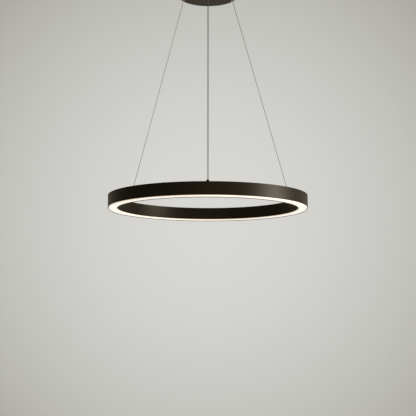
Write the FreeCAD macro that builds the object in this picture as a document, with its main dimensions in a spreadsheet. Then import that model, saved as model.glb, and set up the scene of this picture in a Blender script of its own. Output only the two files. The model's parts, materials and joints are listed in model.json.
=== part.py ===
"""LED ring pendant: a lit ring hung on three thin wires from a round ceiling cup.

Millimetres and degrees. +Z is up and the origin is the middle of the ceiling face, so the lamp hangs
towards -Z. Angles go round the lamp from its front, which is -Y, towards +X.
"""
import FreeCAD, Part
import math
import os
import re
import sys

import Sketcher
from FreeCAD import Vector

# ---------------------------------------------------------------- driving sizes

SIZES = {
    # ceiling cup
    "cup_radius": 92.0,
    "cup_height": 40.0,
    "cup_wall": 1.2,
    "cup_edge_round": 0.8,
    "ceiling_gap": 0.5,
    "plate_thickness": 1.5,
    "plate_skirt": 12.0,
    "plate_play": 0.4,
    "slot_spacing": 116.0,
    "slot_length": 12.0,
    "slot_width": 5.2,
    "supply_x": 5.0,
    "supply_y": 30.0,
    "supply_bore_radius": 6.0,
    "grommet_wall": 2.0,
    "cup_screw_count": 3,
    "cup_screw_angle": 180.0,
    "cup_screw_level": 7.0,
    "screw_radius": 1.5,
    "screw_head_radius": 2.8,
    "screw_head_height": 1.8,
    "screw_reach": 1.0,
    "screw_end_gap": 0.3,
    "tapped_play": 0.05,
    "clearance_play": 0.2,
    "lid_play": 0.15,
    "cut_over": 1.0,
    # driver, terminal block and earth
    "driver_length": 110.0,
    "driver_width": 40.0,
    "driver_height": 22.0,
    "driver_wall": 1.5,
    "driver_y": -20.0,
    "driver_ear": 10.0,
    "driver_ear_width": 20.0,
    "driver_ear_thickness": 2.0,
    "driver_board_thickness": 1.6,
    "driver_boss_height": 4.0,
    "driver_boss_radius": 2.5,
    "driver_boss_inset": 8.0,
    "driver_boss_sink": 0.5,
    "driver_board_play": 1.0,
    "driver_lead_level": 12.0,
    "live_offset": 3.0,
    "neutral_offset": 5.0,
    "coil_width": 18.0,
    "coil_length": 20.0,
    "coil_height": 10.0,
    "capacitor_radius": 5.0,
    "capacitor_height": 11.0,
    "capacitor_offset": 27.5,
    "terminal_inset": 25.0,
    "terminal_y": 30.0,
    "terminal_length": 30.0,
    "terminal_width": 18.0,
    "terminal_height": 14.0,
    "terminal_pitch": 10.0,
    "terminal_way_radius": 2.0,
    "terminal_way_level": 7.0,
    "terminal_way_depth": 7.0,
    "terminal_screw_radius": 1.6,
    "terminal_screw_offset": 5.0,
    "terminal_screw_sink": 1.0,
    "terminal_bolt_seat": 3.0,
    "earth_x": 30.0,
    "earth_y": 30.0,
    "earth_screw_radius": 2.0,
    "earth_head_radius": 3.6,
    "earth_head_height": 2.6,
    "lug_radius": 4.2,
    "lug_thickness": 1.0,
    "lug_barrel_length": 8.0,
    "lug_barrel_wall": 0.7,
    "lug_barrel_gap": 0.8,
    "lug_overlap": 0.6,
    "mains_lead_diameter": 2.0,
    # gland of the low voltage cable
    "gland_x": 5.0,
    "gland_flange_radius": 5.0,
    "gland_flange_height": 1.2,
    "gland_nose_length": 7.0,
    "gland_nose_tip_radius": 1.7,
    "gland_shank_radius": 3.0,
    "gland_shank_length": 7.0,
    # wires and cable
    "drop_length": 627.5,
    "exit_inset": 9.0,
    "exit_side_angle": 113.0,
    "left_anchor_angle": 119.4,
    "right_anchor_angle": 113.8,
    "wire_diameter": 1.5,
    "cable_diameter": 1.2,
    "pair_spacing": 2.8,
    "bore_play": 0.1,
    "clip_length": 5.0,
    "clip_wall": 0.9,
    "clip_play": 0.02,
    "clip_drop": 124.0,
    # wire grippers in the cup
    "gripper_flange_radius": 4.2,
    "gripper_flange_height": 0.8,
    "gripper_barrel_radius": 3.4,
    "gripper_barrel_height": 20.0,
    "gripper_guide_height": 5.0,
    "gripper_cone_widening": 0.5,
    "gripper_top_wall": 3.0,
    "nose_radius": 2.0,
    "nose_drop": 3.0,
    "nose_lip": 0.45,
    "nose_mouth_depth": 2.2,
    "plunger_tube_radius": 1.7,
    "plunger_height": 11.0,
    "ball_radius": 0.72,
    "ball_level": 8.0,
    "ball_count": 3,
    "ball_play": 0.02,
    "spring_radius": 1.6,
    "spring_inner_radius": 1.1,
    "nut_flat_radius": 4.5,
    "nut_height": 3.0,
    "tail_length": 28.0,
    # ring
    "ring_radius": 300.0,
    "profile_width": 30.0,
    "profile_height": 37.0,
    "profile_wall": 2.3,
    "profile_top": 2.4,
    "profile_edge_round": 0.3,
    "snap_level": 4.0,
    "snap_height": 1.6,
    "snap_depth": 0.6,
    "diffuser_drop": 2.2,
    "diffuser_lip": 1.6,
    "diffuser_lip_width": 1.0,
    "diffuser_thickness": 2.0,
    "diffuser_round": 0.4,
    "diffuser_play": 0.15,
    "diffuser_leg": 8.0,
    "diffuser_leg_wall": 1.4,
    # led tray, boards and chips
    "tray_gap": 12.0,
    "tray_thickness": 1.5,
    "tray_play": 0.5,
    "tray_screw_count": 6,
    "tray_screw_angle": 30.0,
    "tray_screw_inset": 3.4,
    "standoff_radius": 2.6,
    "standoff_thread_depth": 9.0,
    "tray_screw_radius": 1.25,
    "tray_screw_head_radius": 2.2,
    "tray_screw_head_height": 1.4,
    "tray_screw_length": 6.0,
    "board_count": 4,
    "board_width": 12.0,
    "board_thickness": 1.2,
    "board_gap_angle": 1.2,
    "feed_angle": -6.0,
    "chip_count": 24,
    "chip_length": 3.5,
    "chip_width": 2.8,
    "chip_height": 0.8,
    "chip_margin_angle": 2.0,
    "board_screw_count": 3,
    "board_screw_margin_angle": 12.0,
    "board_screw_inset": 2.2,
    "board_screw_radius": 1.0,
    "board_screw_head_radius": 1.7,
    "board_screw_head_height": 1.1,
    "link_length": 9.0,
    "link_width": 5.0,
    "link_height": 1.2,
    "connector_length": 10.0,
    "connector_width": 8.0,
    "connector_height": 6.0,
    "connector_stem": 3.6,
    "connector_stem_reach": 0.5,
    # fittings on top of the ring
    "bush_radius": 4.0,
    "bush_height": 5.7,
    "bush_shank_radius": 3.2,
    "bush_shank_length": 6.4,
    "anchor_head_radius": 3.5,
    "anchor_head_height": 1.5,
    "anchor_shank_radius": 2.5,
    "anchor_shank_length": 8.0,
    "anchor_nut_flat_radius": 4.0,
    "bush_nut_flat_radius": 5.0,
    "exit_bend_height": 0.8,
    "bend_depth": 1.5,
    "bend_stub": 2.0,
    "cable_stub": 3.0,
    "flare_depth": 4.5,
    "flare_widening": 1.1,
    "stop_radius": 1.3,
    "stop_length": 4.0,
}

# Places that follow from the driving sizes. Each name stands for its formula.
DERIVED = {
    "cup_floor": "0 - cup_height",
    "cup_floor_inside": "cup_wall - cup_height",
    "plate_radius": "cup_radius - cup_wall - plate_play",
    "plate_underside": "0 - plate_thickness",
    "supply_hole_radius": "supply_bore_radius + grommet_wall",
    "driver_floor": "0 - plate_thickness - driver_height",
    "ear_seat": "plate_underside - driver_ear_thickness",
    "bolt_seat": "plate_underside - terminal_height + terminal_bolt_seat",
    "live_y": "driver_y - live_offset",
    "neutral_y": "driver_y + neutral_offset",
    "terminal_x": "terminal_inset - driver_length / 2",
    "exit_radius": "cup_radius - exit_inset",
    "driver_board_top": "0 - plate_thickness - driver_wall - driver_boss_height",
    "driver_board_under": "driver_board_top - driver_board_thickness",
    "ring_top": "0 - cup_height - drop_length",
    "ring_inner_radius": "ring_radius - profile_width",
    "ring_middle_radius": "ring_radius - profile_width / 2",
    "tray_top": "0 - profile_top - tray_gap",
    "tray_under": "tray_top - tray_thickness",
    "board_under": "tray_under - board_thickness",
    "board_outer_radius": "ring_middle_radius + board_width / 2",
    "board_span": "360 / board_count - board_gap_angle",
    "tray_screw_circle": "ring_radius - profile_wall - tray_screw_inset",
    "board_screw_circle": "board_outer_radius - board_screw_inset",
    "diffuser_face": "0 - profile_height - diffuser_drop",
    "diffuser_low": "diffuser_face - diffuser_lip",
    "wire_bore_radius": "wire_diameter / 2 + bore_play",
    "cable_bore_radius": "cable_diameter / 2 + bore_play",
    "ball_reach": "wire_diameter / 2 + ball_radius + ball_play",
    "grip_radius": "ball_reach + ball_radius + ball_play",
    "wire_side": "pair_spacing / 2",
    "cable_side": "0 - pair_spacing / 2",
    "exit_bend": "cup_floor - nose_drop + exit_bend_height",
    "tail_start": "exit_bend + bend_stub",
    "front_bend": "ring_top + bush_height - bend_depth",
    "side_bend": "ring_top + anchor_head_height - bend_depth",
    "cable_end": "front_bend - cable_stub",
}

BUSH_END = "ring_top - bush_shank_length"
ANCHOR_END = "ring_top - anchor_shank_length"
WIRES = {
    # name: exit angle, anchor angle, sideways place, level of the lower bend, level of its stop
    "front": ("0", "0", "wire_side", "front_bend", BUSH_END),
    "left": ("0 - exit_side_angle", "0 - left_anchor_angle", "0", "side_bend", ANCHOR_END),
    "right": ("exit_side_angle", "right_anchor_angle", "0", "side_bend", ANCHOR_END),
}
PLATE_SCREWS = {
    # name: x, y and the level of the head's seat
    "driver_left": ("0 - driver_length / 2 - driver_ear / 2", "driver_y", "ear_seat"),
    "driver_right": ("driver_length / 2 + driver_ear / 2", "driver_y", "ear_seat"),
    "terminal": ("terminal_x", "terminal_y", "bolt_seat"),
}

# ---------------------------------------------------------------- document and formulas

doc = FreeCAD.newDocument("RingPendant")
sheet = doc.addObject("Spreadsheet::Sheet", "Sizes")
for row, (alias, size) in enumerate(SIZES.items(), 1):
    sheet.set(f"A{row}", alias)
    sheet.set(f"B{row}", str(size))
    sheet.setAlias(f"B{row}", alias)
doc.recompute()

pieces = {}


def formula(text):
    """The text with every name replaced by its cell, or by the formula it stands for."""

    def swap(match):
        word = match.group(0)
        if word in DERIVED:
            return "(" + formula(DERIVED[word]) + ")"
        return "Sizes." + word if word in SIZES else word

    return re.sub(r"[A-Za-z_][A-Za-z_0-9]*", swap, str(text))


def value(text):
    return float(sheet.evalExpression(formula(text)))


def bind(thing, prop, text):
    thing.setExpression(prop, formula(text))


def place(thing, x="0", y="0", z="0", yaw="0", pitch="0", roll="0"):
    """Puts a piece at a point, turned by roll about X, then pitch about Y, then yaw about Z."""
    point = f"create(<<vector>>; {formula(x)}; {formula(y)}; {formula(z)})"
    turn = f"create(<<rotation>>; {formula(yaw)}; {formula(pitch)}; {formula(roll)})"
    thing.setExpression("Placement", f"create(<<placement>>; {point}; {turn})")
    return thing


def around(radius, angle):
    """The X and Y formulas of a point at that radius and that angle from the front."""
    return f"({radius}) * sin({angle})", f"0 - ({radius}) * cos({angle})"


def exit_place(side):
    """Where a wire leaves the cup."""
    exit_angle, _, sideways, _, _ = WIRES[side]
    x, y = around("exit_radius", exit_angle)
    return f"{x} + {sideways}", y


def anchor_place(side):
    """Where a fitting stands on the ring."""
    return around("ring_middle_radius", WIRES[side][1])


def keep(label, thing):
    """Names a finished sub-part: the label is its node and its file."""
    thing.Label = label
    pieces[label] = thing
    return thing


# ---------------------------------------------------------------- ways of making a piece


def new_body(label):
    body = doc.addObject("PartDesign::Body", label + "_body")
    body.AllowCompound = True
    return body


def new_sketch(body, role, name):
    plane = [feature for feature in body.Origin.OriginFeatures if feature.Role == role][0]
    sketch = body.newObject("Sketcher::SketchObject", name)
    sketch.AttachmentSupport = [(plane, "")]
    sketch.MapMode = "FlatFace"
    return sketch


def draw_loop(sketch, corners):
    """A closed outline with a driven distance from the origin to each corner."""
    points = [Vector(value(x), value(y), 0) for x, y in corners]
    count = len(points)
    first = sketch.GeometryCount
    for i, point in enumerate(points):
        sketch.addGeometry(Part.LineSegment(point, points[(i + 1) % count]), False)
    for i in range(count):
        sketch.addConstraint(Sketcher.Constraint("Coincident", first + i, 2, first + (i + 1) % count, 1))
    for i, (corner, point) in enumerate(zip(corners, points)):
        for kind, text, size in (("DistanceX", corner[0], point.x), ("DistanceY", corner[1], point.y)):
            index = sketch.addConstraint(Sketcher.Constraint(kind, -1, 1, first + i, 1, size))
            bind(sketch, f"Constraints[{index}]", text)


def revolved(label, corners, span="360"):
    """A body turned about its own Z axis from an outline of (radius, height) corners."""
    body = new_body(label)
    sketch = new_sketch(body, "XZ_Plane", label + "_section")
    draw_loop(sketch, corners)
    turn = body.newObject("PartDesign::Revolution", label + "_turn")
    turn.Profile = (sketch, [""])
    turn.ReferenceAxis = (sketch, ["V_Axis"])
    bind(turn, "Angle", span)
    return body


def extruded(label, corners, height):
    """A body raised along Z from an outline in its own XY plane."""
    body = new_body(label)
    sketch = new_sketch(body, "XY_Plane", label + "_outline")
    draw_loop(sketch, corners)
    pad = body.newObject("PartDesign::Pad", label + "_pad")
    pad.Profile = (sketch, [""])
    bind(pad, "Length", height)
    return body


def repeat_round(body, count, span):
    """Repeats the last feature of a body about its Z axis, over that many degrees."""
    source = body.Tip
    pattern = body.newObject("PartDesign::PolarPattern", source.Name + "_repeat")
    pattern.Originals = [source]
    pattern.Axis = (source.Profile[0], ["V_Axis"] if source.TypeId.endswith("Revolution") else ["N_Axis"])
    bind(pattern, "Occurrences", count)
    bind(pattern, "Angle", span)
    body.Tip = pattern
    return body


def round_circles(body, circles, radius):
    """Fillets the full circular edges at each (radius, height) given."""
    doc.recompute()
    source = body.Tip
    wanted = [(value(r), value(z)) for r, z in circles]
    names = []
    for index, edge in enumerate(source.Shape.Edges, 1):
        curve = edge.Curve
        if not isinstance(curve, Part.Circle):
            continue
        if any(abs(curve.Radius - r) < 1e-3 and abs(curve.Center.z - z) < 1e-3 for r, z in wanted):
            names.append(f"Edge{index}")
    fillet = body.newObject("PartDesign::Fillet", body.Name + "_round")
    fillet.Base = (source, names)
    bind(fillet, "Radius", radius)
    body.Tip = fillet
    return body


def rod(name, radius, height, **where):
    """A cylinder that rises from its place."""
    cylinder = doc.addObject("Part::Cylinder", name)
    bind(cylinder, "Radius", radius)
    bind(cylinder, "Height", height)
    return place(cylinder, **where)


def taper(name, low_radius, high_radius, height, **where):
    cone = doc.addObject("Part::Cone", name)
    bind(cone, "Radius1", low_radius)
    bind(cone, "Radius2", high_radius)
    bind(cone, "Height", height)
    return place(cone, **where)


def block(name, length, width, height, **where):
    """A box on X, Y and Z with its place at the middle of its base."""
    box = doc.addObject("Part::Box", name)
    bind(box, "Length", length)
    bind(box, "Width", width)
    bind(box, "Height", height)
    middle = dict(where)
    middle["x"] = f"{where.get('x', '0')} - ({length}) / 2"
    middle["y"] = f"{where.get('y', '0')} - ({width}) / 2"
    return place(box, **middle)


def hexagon(name, flat_radius, height, **where):
    prism = doc.addObject("Part::Prism", name)
    prism.Polygon = 6
    bind(prism, "Circumradius", f"({flat_radius}) / cos(30)")
    bind(prism, "Height", height)
    return place(prism, **where)


def joined(name, parts):
    fusion = doc.addObject("Part::MultiFuse", name)
    fusion.Shapes = parts
    fusion.Refine = True
    return fusion


def cut(name, base, tools):
    """The base without the tools."""
    result = doc.addObject("Part::Cut", name)
    result.Base = base
    result.Tool = tools[0] if len(tools) == 1 else joined(name + "_tools", tools)
    return result


def group(name, parts):
    """Separate solids kept together as one node."""
    compound = doc.addObject("Part::Compound", name)
    compound.Links = parts
    return compound


def ball(name, radius, **where):
    sphere = doc.addObject("Part::Sphere", name)
    bind(sphere, "Radius", radius)
    return place(sphere, **where)


# ---------------------------------------------------------------- tubes along a route

BEND_SHARE = 0.45  # how much of the shorter run a bend may take


def route_path(points):
    """Straight runs joined by tangent arcs, with the length of the line and its arcs' radii."""
    edges, radii = [], []
    start = points[0]
    for before, corner, after in zip(points, points[1:], points[2:]):
        into = (corner - before).normalize()
        out = (after - corner).normalize()
        turn = into.getAngle(out)
        shorter = min(corner.distanceToPoint(before), corner.distanceToPoint(after))
        tangent = BEND_SHARE * shorter
        radius = tangent / math.tan(turn / 2)
        radii.append(radius)
        entry = corner - into * tangent
        leave = corner + out * tangent
        inward = (out - into).normalize()
        middle = corner + inward * (radius / math.cos(turn / 2) - radius)
        edges.append(Part.LineSegment(start, entry).toShape())
        edges.append(Part.Arc(entry, middle, leave).toShape())
        start = leave
    edges.append(Part.LineSegment(start, points[-1]).toShape())
    return Part.Wire(edges), radii


def tube(label, corners, diameter):
    """A solid round cord along a route of (x, y, z) corners."""
    points = [Vector(*(value(part) for part in corner)) for corner in corners]
    path, radii = route_path(points)
    radius = value(diameter) / 2
    ring = Part.Wire([Part.makeCircle(radius, points[0], points[1] - points[0])])
    solid = path.makePipeShell([ring], True, True)
    expected = math.pi * radius**2 * path.Length
    print(
        f"{label}: {path.Length:.1f} mm long, tightest bend {min(radii):.1f} mm, "
        f"volume {solid.Volume / expected:.4f} of its section times its length"
    )
    feature = doc.addObject("Part::Feature", label)
    feature.Shape = solid
    return keep(label, feature)


# ---------------------------------------------------------------- ceiling cup


def make_ceiling_plate():
    body = revolved(
        "ceiling_disc",
        [
            ("0", "0"),
            ("plate_radius", "0"),
            ("plate_radius", "0 - plate_skirt"),
            ("plate_radius - plate_thickness", "0 - plate_skirt"),
            ("plate_radius - plate_thickness", "plate_underside"),
            ("0", "plate_underside"),
        ],
    )
    through = "plate_thickness * 3"
    below = "0 - plate_thickness * 2"
    tools = [rod("plate_supply_hole", "supply_hole_radius", through, x="supply_x", y="supply_y", z=below)]
    for side, sign in (("back", ""), ("front", "0 - ")):
        middle = f"{sign}slot_spacing / 2"
        straight = "slot_length - slot_width"
        tools.append(block(f"slot_{side}", "slot_width", straight, through, y=middle, z=below))
        for end, shift in (("near", "+"), ("far", "-")):
            centre = f"{middle} {shift} ({straight}) / 2"
            tools.append(rod(f"slot_{side}_{end}", "slot_width / 2", through, y=centre, z=below))
    tapped = "screw_radius + tapped_play"
    for name, (x, y, _) in PLATE_SCREWS.items():
        tools.append(rod(f"plate_hole_{name}", tapped, through, x=x, y=y, z=below))
    earth = "earth_screw_radius + tapped_play"
    tools.append(rod("plate_hole_earth", earth, through, x="earth_x", y="earth_y", z=below))
    for index in range(int(value("cup_screw_count"))):
        angle = f"cup_screw_angle + {index} * 360 / cup_screw_count - 90"
        tools.append(
            rod(f"skirt_hole_{index}", tapped, "cup_radius", z="0 - cup_screw_level", yaw=angle, pitch="90")
        )
    keep("ceiling_plate", cut("ceiling_plate", body, tools))


def make_supply_grommet():
    lip = "supply_hole_radius + grommet_wall"
    body = revolved(
        "supply_grommet",
        [
            ("supply_bore_radius", "0 - plate_thickness - grommet_wall"),
            (lip, "0 - plate_thickness - grommet_wall"),
            (lip, "plate_underside"),
            ("supply_hole_radius", "plate_underside"),
            ("supply_hole_radius", "0"),
            ("supply_bore_radius", "0"),
        ],
    )
    keep("supply_grommet", place(body, x="supply_x", y="supply_y"))


def make_cup_shell():
    inside = "cup_radius - cup_wall"
    body = revolved(
        "cup",
        [
            ("0", "cup_floor"),
            ("cup_radius", "cup_floor"),
            ("cup_radius", "0 - ceiling_gap"),
            (inside, "0 - ceiling_gap"),
            (inside, "cup_floor_inside"),
            ("0", "cup_floor_inside"),
        ],
    )
    round_circles(body, [("cup_radius", "cup_floor")], "cup_edge_round")
    deep = "cup_wall * 3"
    low = "cup_floor - cup_wall"
    tools = [rod("gland_hole", "gland_shank_radius + tapped_play", deep, x="gland_x", z=low)]
    for side in WIRES:
        x, y = exit_place(side)
        hole = "gripper_barrel_radius + tapped_play"
        tools.append(rod(f"gripper_hole_{side}", hole, deep, x=x, y=y, z=low))
    for index in range(int(value("cup_screw_count"))):
        angle = f"cup_screw_angle + {index} * 360 / cup_screw_count - 90"
        hole = "screw_radius + clearance_play"
        length = "cup_radius * 2"
        tools.append(rod(f"cup_hole_{index}", hole, length, z="0 - cup_screw_level", yaw=angle, pitch="90"))
    keep("canopy_shell", cut("canopy_shell", body, tools))


def make_cup_screws():
    seat = "cup_radius + tapped_play"
    inner = "plate_radius - plate_thickness - screw_reach"
    screws = []
    for index in range(int(value("cup_screw_count"))):
        angle = f"cup_screw_angle + {index} * 360 / cup_screw_count"
        x, y = around(seat, angle)
        head = revolved(
            f"cup_screw_{index}",
            [
                ("0", f"{inner} - ({seat})"),
                ("screw_radius", f"{inner} - ({seat})"),
                ("screw_radius", "0"),
                ("screw_head_radius", "0"),
                ("screw_head_radius", "screw_head_height / 2"),
                ("screw_head_radius / 2", "screw_head_height"),
                ("0", "screw_head_height"),
            ],
        )
        screws.append(place(head, x=x, y=y, z="0 - cup_screw_level", yaw=f"{angle} - 90", pitch="90"))
    keep("canopy_screws", group("canopy_screws", screws))


# ---------------------------------------------------------------- driver and mains side


def make_driver():
    top = "driver_height - driver_wall"
    outer = block(
        "driver_outer",
        "driver_length",
        "driver_width",
        "driver_height",
        y="driver_y",
        z="driver_floor",
    )
    inner_length = "driver_length - 2 * driver_wall"
    inner_width = "driver_width - 2 * driver_wall"
    inner = block("driver_inner", inner_length, inner_width, top, y="driver_y", z="driver_floor")
    ears = block(
        "driver_ears",
        "driver_length + 2 * driver_ear",
        "driver_ear_width",
        "driver_ear_thickness",
        y="driver_y",
        z="plate_underside - driver_ear_thickness",
    )
    room = block(
        "driver_ear_room",
        inner_length,
        inner_width,
        "driver_ear_thickness",
        y="driver_y",
        z="plate_underside - driver_wall - driver_ear_thickness",
    )
    tools = [inner, room]
    for side in ("driver_left", "driver_right"):
        hole = "screw_radius + clearance_play"
        x = PLATE_SCREWS[side][0]
        tools.append(rod(f"ear_hole_{side}", hole, "driver_height", x=x, y="driver_y", z="driver_floor"))
    lead_z = "0 - driver_lead_level"
    for name, y in (("live", "live_y"), ("neutral", "neutral_y")):
        hole = "mains_lead_diameter / 2 + bore_play"
        x = "0 - driver_length / 2 - driver_wall"
        tools.append(rod(f"driver_in_{name}", hole, "driver_wall * 3", x=x, y=y, z=lead_z, pitch="90"))
    tools.append(
        rod(
            "driver_out",
            "cable_bore_radius",
            "driver_wall * 3",
            x="driver_length / 2 - driver_wall * 2",
            y="driver_y",
            z=lead_z,
            pitch="90",
        )
    )
    shell = cut("driver_shell", joined("driver_solid", [outer, ears]), tools)
    bosses = []
    height = "driver_boss_height + driver_boss_sink"
    for x in ("driver_length / 2 - driver_boss_inset", "driver_boss_inset - driver_length / 2"):
        for shift in ("driver_width / 2 - driver_boss_inset", "driver_boss_inset - driver_width / 2"):
            name = f"driver_boss_{len(bosses)}"
            y = f"driver_y + {shift}"
            bosses.append(rod(name, "driver_boss_radius", height, x=x, y=y, z="driver_board_top"))
    keep("driver_case", joined("driver_case", [shell] + bosses))

    lid_length = f"{inner_length} - 2 * lid_play"
    lid_width = f"{inner_width} - 2 * lid_play"
    lid = block("driver_lid", lid_length, lid_width, "driver_wall", y="driver_y", z="driver_floor")
    keep("driver_lid", lid)

    board = block(
        "driver_board",
        f"{inner_length} - 2 * driver_board_play",
        f"{inner_width} - 2 * driver_board_play",
        "driver_board_thickness",
        y="driver_y",
        z="driver_board_under",
    )
    keep("driver_board", board)

    coil = block(
        "driver_coil",
        "coil_length",
        "coil_width",
        "coil_height",
        y="driver_y",
        z="driver_board_under - coil_height",
    )
    parts = [coil]
    level = "driver_board_under - capacitor_height"
    for x in ("0 - capacitor_offset", "capacitor_offset"):
        name = f"capacitor_{len(parts)}"
        parts.append(rod(name, "capacitor_radius", "capacitor_height", x=x, y="driver_y", z=level))
    keep("driver_components", group("driver_components", parts))


def make_plate_screws():
    screws = []
    for name, (x, y, seat) in PLATE_SCREWS.items():
        screw = revolved(
            f"plate_screw_{name}",
            [
                ("0", "0 - screw_head_height"),
                ("screw_head_radius", "0 - screw_head_height"),
                ("screw_head_radius", "0"),
                ("screw_radius", "0"),
                ("screw_radius", f"0 - ({seat}) - screw_end_gap"),
                ("0", f"0 - ({seat}) - screw_end_gap"),
            ],
        )
        screws.append(place(screw, x=x, y=y, z=seat))
    keep("plate_screws", group("plate_screws", screws))


def make_terminal_block():
    base = "plate_underside - terminal_height"
    solid = block(
        "terminal_solid",
        "terminal_length",
        "terminal_width",
        "terminal_height",
        x="terminal_x",
        y="terminal_y",
        z=base,
    )
    hole = "screw_radius + clearance_play"
    seat_room = "screw_head_radius + clearance_play"
    sink_depth = "terminal_bolt_seat + cut_over"
    tools = [
        rod("terminal_bolt", hole, "terminal_height * 2", x="terminal_x", y="terminal_y", z=base),
        rod("terminal_sink", seat_room, sink_depth, x="terminal_x", y="terminal_y", z=f"{base} - cut_over"),
    ]
    screws = []
    way_radius = "terminal_way_radius"
    mouth = "terminal_width / 2 + cut_over"
    for index in range(3):
        x = f"terminal_x + ({index} - 1) * terminal_pitch"
        for side, y, roll, screw_y in (
            ("in", f"terminal_y + {mouth}", "90", "terminal_y + terminal_screw_offset"),
            ("out", f"terminal_y - ({mouth})", "0 - 90", "terminal_y - terminal_screw_offset"),
        ):
            depth = "terminal_way_depth + cut_over"
            level = "0 - plate_thickness - terminal_way_level"
            tools.append(rod(f"way_{side}_{index}", way_radius, depth, x=x, y=y, z=level, roll=roll))
            sink = "terminal_screw_radius + tapped_play"
            room = "terminal_height - terminal_way_level + cut_over"
            tools.append(rod(f"sink_{side}_{index}", sink, room, x=x, y=screw_y, z=f"{base} - cut_over"))
            screw_low = f"{base} + terminal_screw_sink"
            length = "terminal_height - terminal_way_level - terminal_way_radius - terminal_screw_sink"
            name = f"terminal_screw_{side}_{index}"
            screws.append(rod(name, "terminal_screw_radius", length, x=x, y=screw_y, z=screw_low))
    keep("terminal_block", cut("terminal_block", solid, tools))
    keep("terminal_screws", group("terminal_screws", screws))


def make_earth():
    plane = "plate_underside - lug_thickness"
    eye = rod("lug_eye", "lug_radius", "lug_thickness", x="earth_x", y="earth_y", z=plane)
    barrel = rod(
        "lug_barrel",
        "mains_lead_diameter / 2 + lug_barrel_wall",
        "lug_barrel_length",
        x="earth_x",
        y="earth_y - lug_radius + lug_overlap",
        z="plate_underside - mains_lead_diameter / 2 - lug_barrel_gap",
        roll="90",
    )
    hole = rod(
        "lug_hole",
        "earth_screw_radius + bore_play",
        "lug_thickness * 9",
        x="earth_x",
        y="earth_y",
        z="plate_underside - lug_thickness * 5",
    )
    keep("earth_lug", cut("earth_lug", joined("lug_solid", [eye, barrel]), [hole]))
    screw = revolved(
        "earth_screw",
        [
            ("0", "0 - earth_head_height"),
            ("earth_head_radius", "0 - earth_head_height"),
            ("earth_head_radius", "0"),
            ("earth_screw_radius", "0"),
            ("earth_screw_radius", "lug_thickness + plate_thickness - screw_end_gap"),
            ("0", "lug_thickness + plate_thickness - screw_end_gap"),
        ],
    )
    keep("earth_screw", place(screw, x="earth_x", y="earth_y", z=plane))


def make_inner_leads():
    level = "0 - driver_lead_level"
    way = "0 - plate_thickness - terminal_way_level"
    start_y = "terminal_y - terminal_width / 2 + 2"
    case_end = "3 - driver_length / 2"
    corner_x = "0 - driver_length / 2"
    corner_y = "driver_y + driver_width / 2"
    live_x = "terminal_x - terminal_pitch"
    tube(
        "live_lead",
        [
            (live_x, start_y, way),
            (live_x, "terminal_y - 15", way),
            (f"{corner_x} + 5", f"{corner_y} + 9", f"{level} + 2"),
            (f"{corner_x} - 7", f"{corner_y} + 6", level),
            (f"{corner_x} - 16", corner_y, level),
            (f"{corner_x} - 19", "live_y + 14", level),
            (f"{corner_x} - 16", "live_y + 5", level),
            (f"{corner_x} - 9", "live_y", level),
            (case_end, "live_y", level),
        ],
        "mains_lead_diameter",
    )
    neutral_x = "terminal_x"
    tube(
        "neutral_lead",
        [
            (neutral_x, start_y, way),
            (neutral_x, "terminal_y - 16", way),
            (f"{neutral_x} - 8", f"{corner_y} + 6", f"{level} + 1"),
            (f"{corner_x} + 5", f"{corner_y} + 3.5", level),
            (f"{corner_x} - 5", corner_y, level),
            (f"{corner_x} - 9.5", "neutral_y + 8", level),
            (f"{corner_x} - 6", "neutral_y", level),
            (case_end, "neutral_y", level),
        ],
        "mains_lead_diameter",
    )
    earth_x = "terminal_x + terminal_pitch"
    lug_z = "plate_underside - mains_lead_diameter / 2 - lug_barrel_gap"
    lug_y = "earth_y - lug_radius + lug_overlap - lug_barrel_length"
    tube(
        "earth_lead",
        [
            (earth_x, start_y, way),
            (earth_x, "terminal_y - 17", way),
            (f"{earth_x} + 8", "terminal_y - 23", f"{way} + 1"),
            (f"{earth_x} + 28", "terminal_y - 24", f"{way} + 2.5"),
            ("earth_x - 7", "terminal_y - 23.5", f"{lug_z} - 1.5"),
            ("earth_x", f"{lug_y} - 4", lug_z),
            ("earth_x", lug_y, lug_z),
        ],
        "mains_lead_diameter",
    )
    out_x = "driver_length / 2"
    tube(
        "canopy_lead",
        [
            ("gland_x", "0", "cup_floor - gland_flange_height - gland_nose_length"),
            ("gland_x", "0", "driver_floor - 8"),
            ("gland_x + 4", "0 - 1", "driver_floor - 4.5"),
            ("gland_x + 14", "0 - 3", "driver_floor - 3.5"),
            (f"{out_x} - 8", "driver_y + 6", "driver_floor - 3.5"),
            (f"{out_x} + 12", "driver_y + 2", "driver_floor - 1"),
            (f"{out_x} + 18", "driver_y + 1", f"{level} - 4"),
            (f"{out_x} + 12", "driver_y", level),
            (f"{out_x} - 3", "driver_y", level),
        ],
        "cable_diameter",
    )


# ---------------------------------------------------------------- gland and wire grippers


def make_gland():
    under = "0 - gland_flange_height"
    body = revolved(
        "cable_gland",
        [
            ("cable_bore_radius", f"{under} - gland_nose_length"),
            ("gland_nose_tip_radius", f"{under} - gland_nose_length"),
            ("gland_shank_radius", under),
            ("gland_flange_radius", under),
            ("gland_flange_radius", "0"),
            ("gland_shank_radius", "0"),
            ("gland_shank_radius", "gland_shank_length"),
            ("cable_bore_radius", "gland_shank_length"),
        ],
    )
    keep("cable_gland", place(body, x="gland_x", z="cup_floor"))
    make_nut("gland_nut", "nut_flat_radius", "gland_shank_radius", x="gland_x", y="0", z="cup_floor_inside")


def make_nut(label, flat_radius, thread_radius, x, y, z, kept=True):
    nut = hexagon(label + "_solid", flat_radius, "nut_height", x=x, y=y, z=z)
    thread = f"{thread_radius} + tapped_play"
    hole = rod(label + "_thread", thread, "nut_height * 3", x=x, y=y, z=f"{z} - nut_height")
    result = cut(label, nut, [hole])
    return keep(label, result) if kept else result


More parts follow.
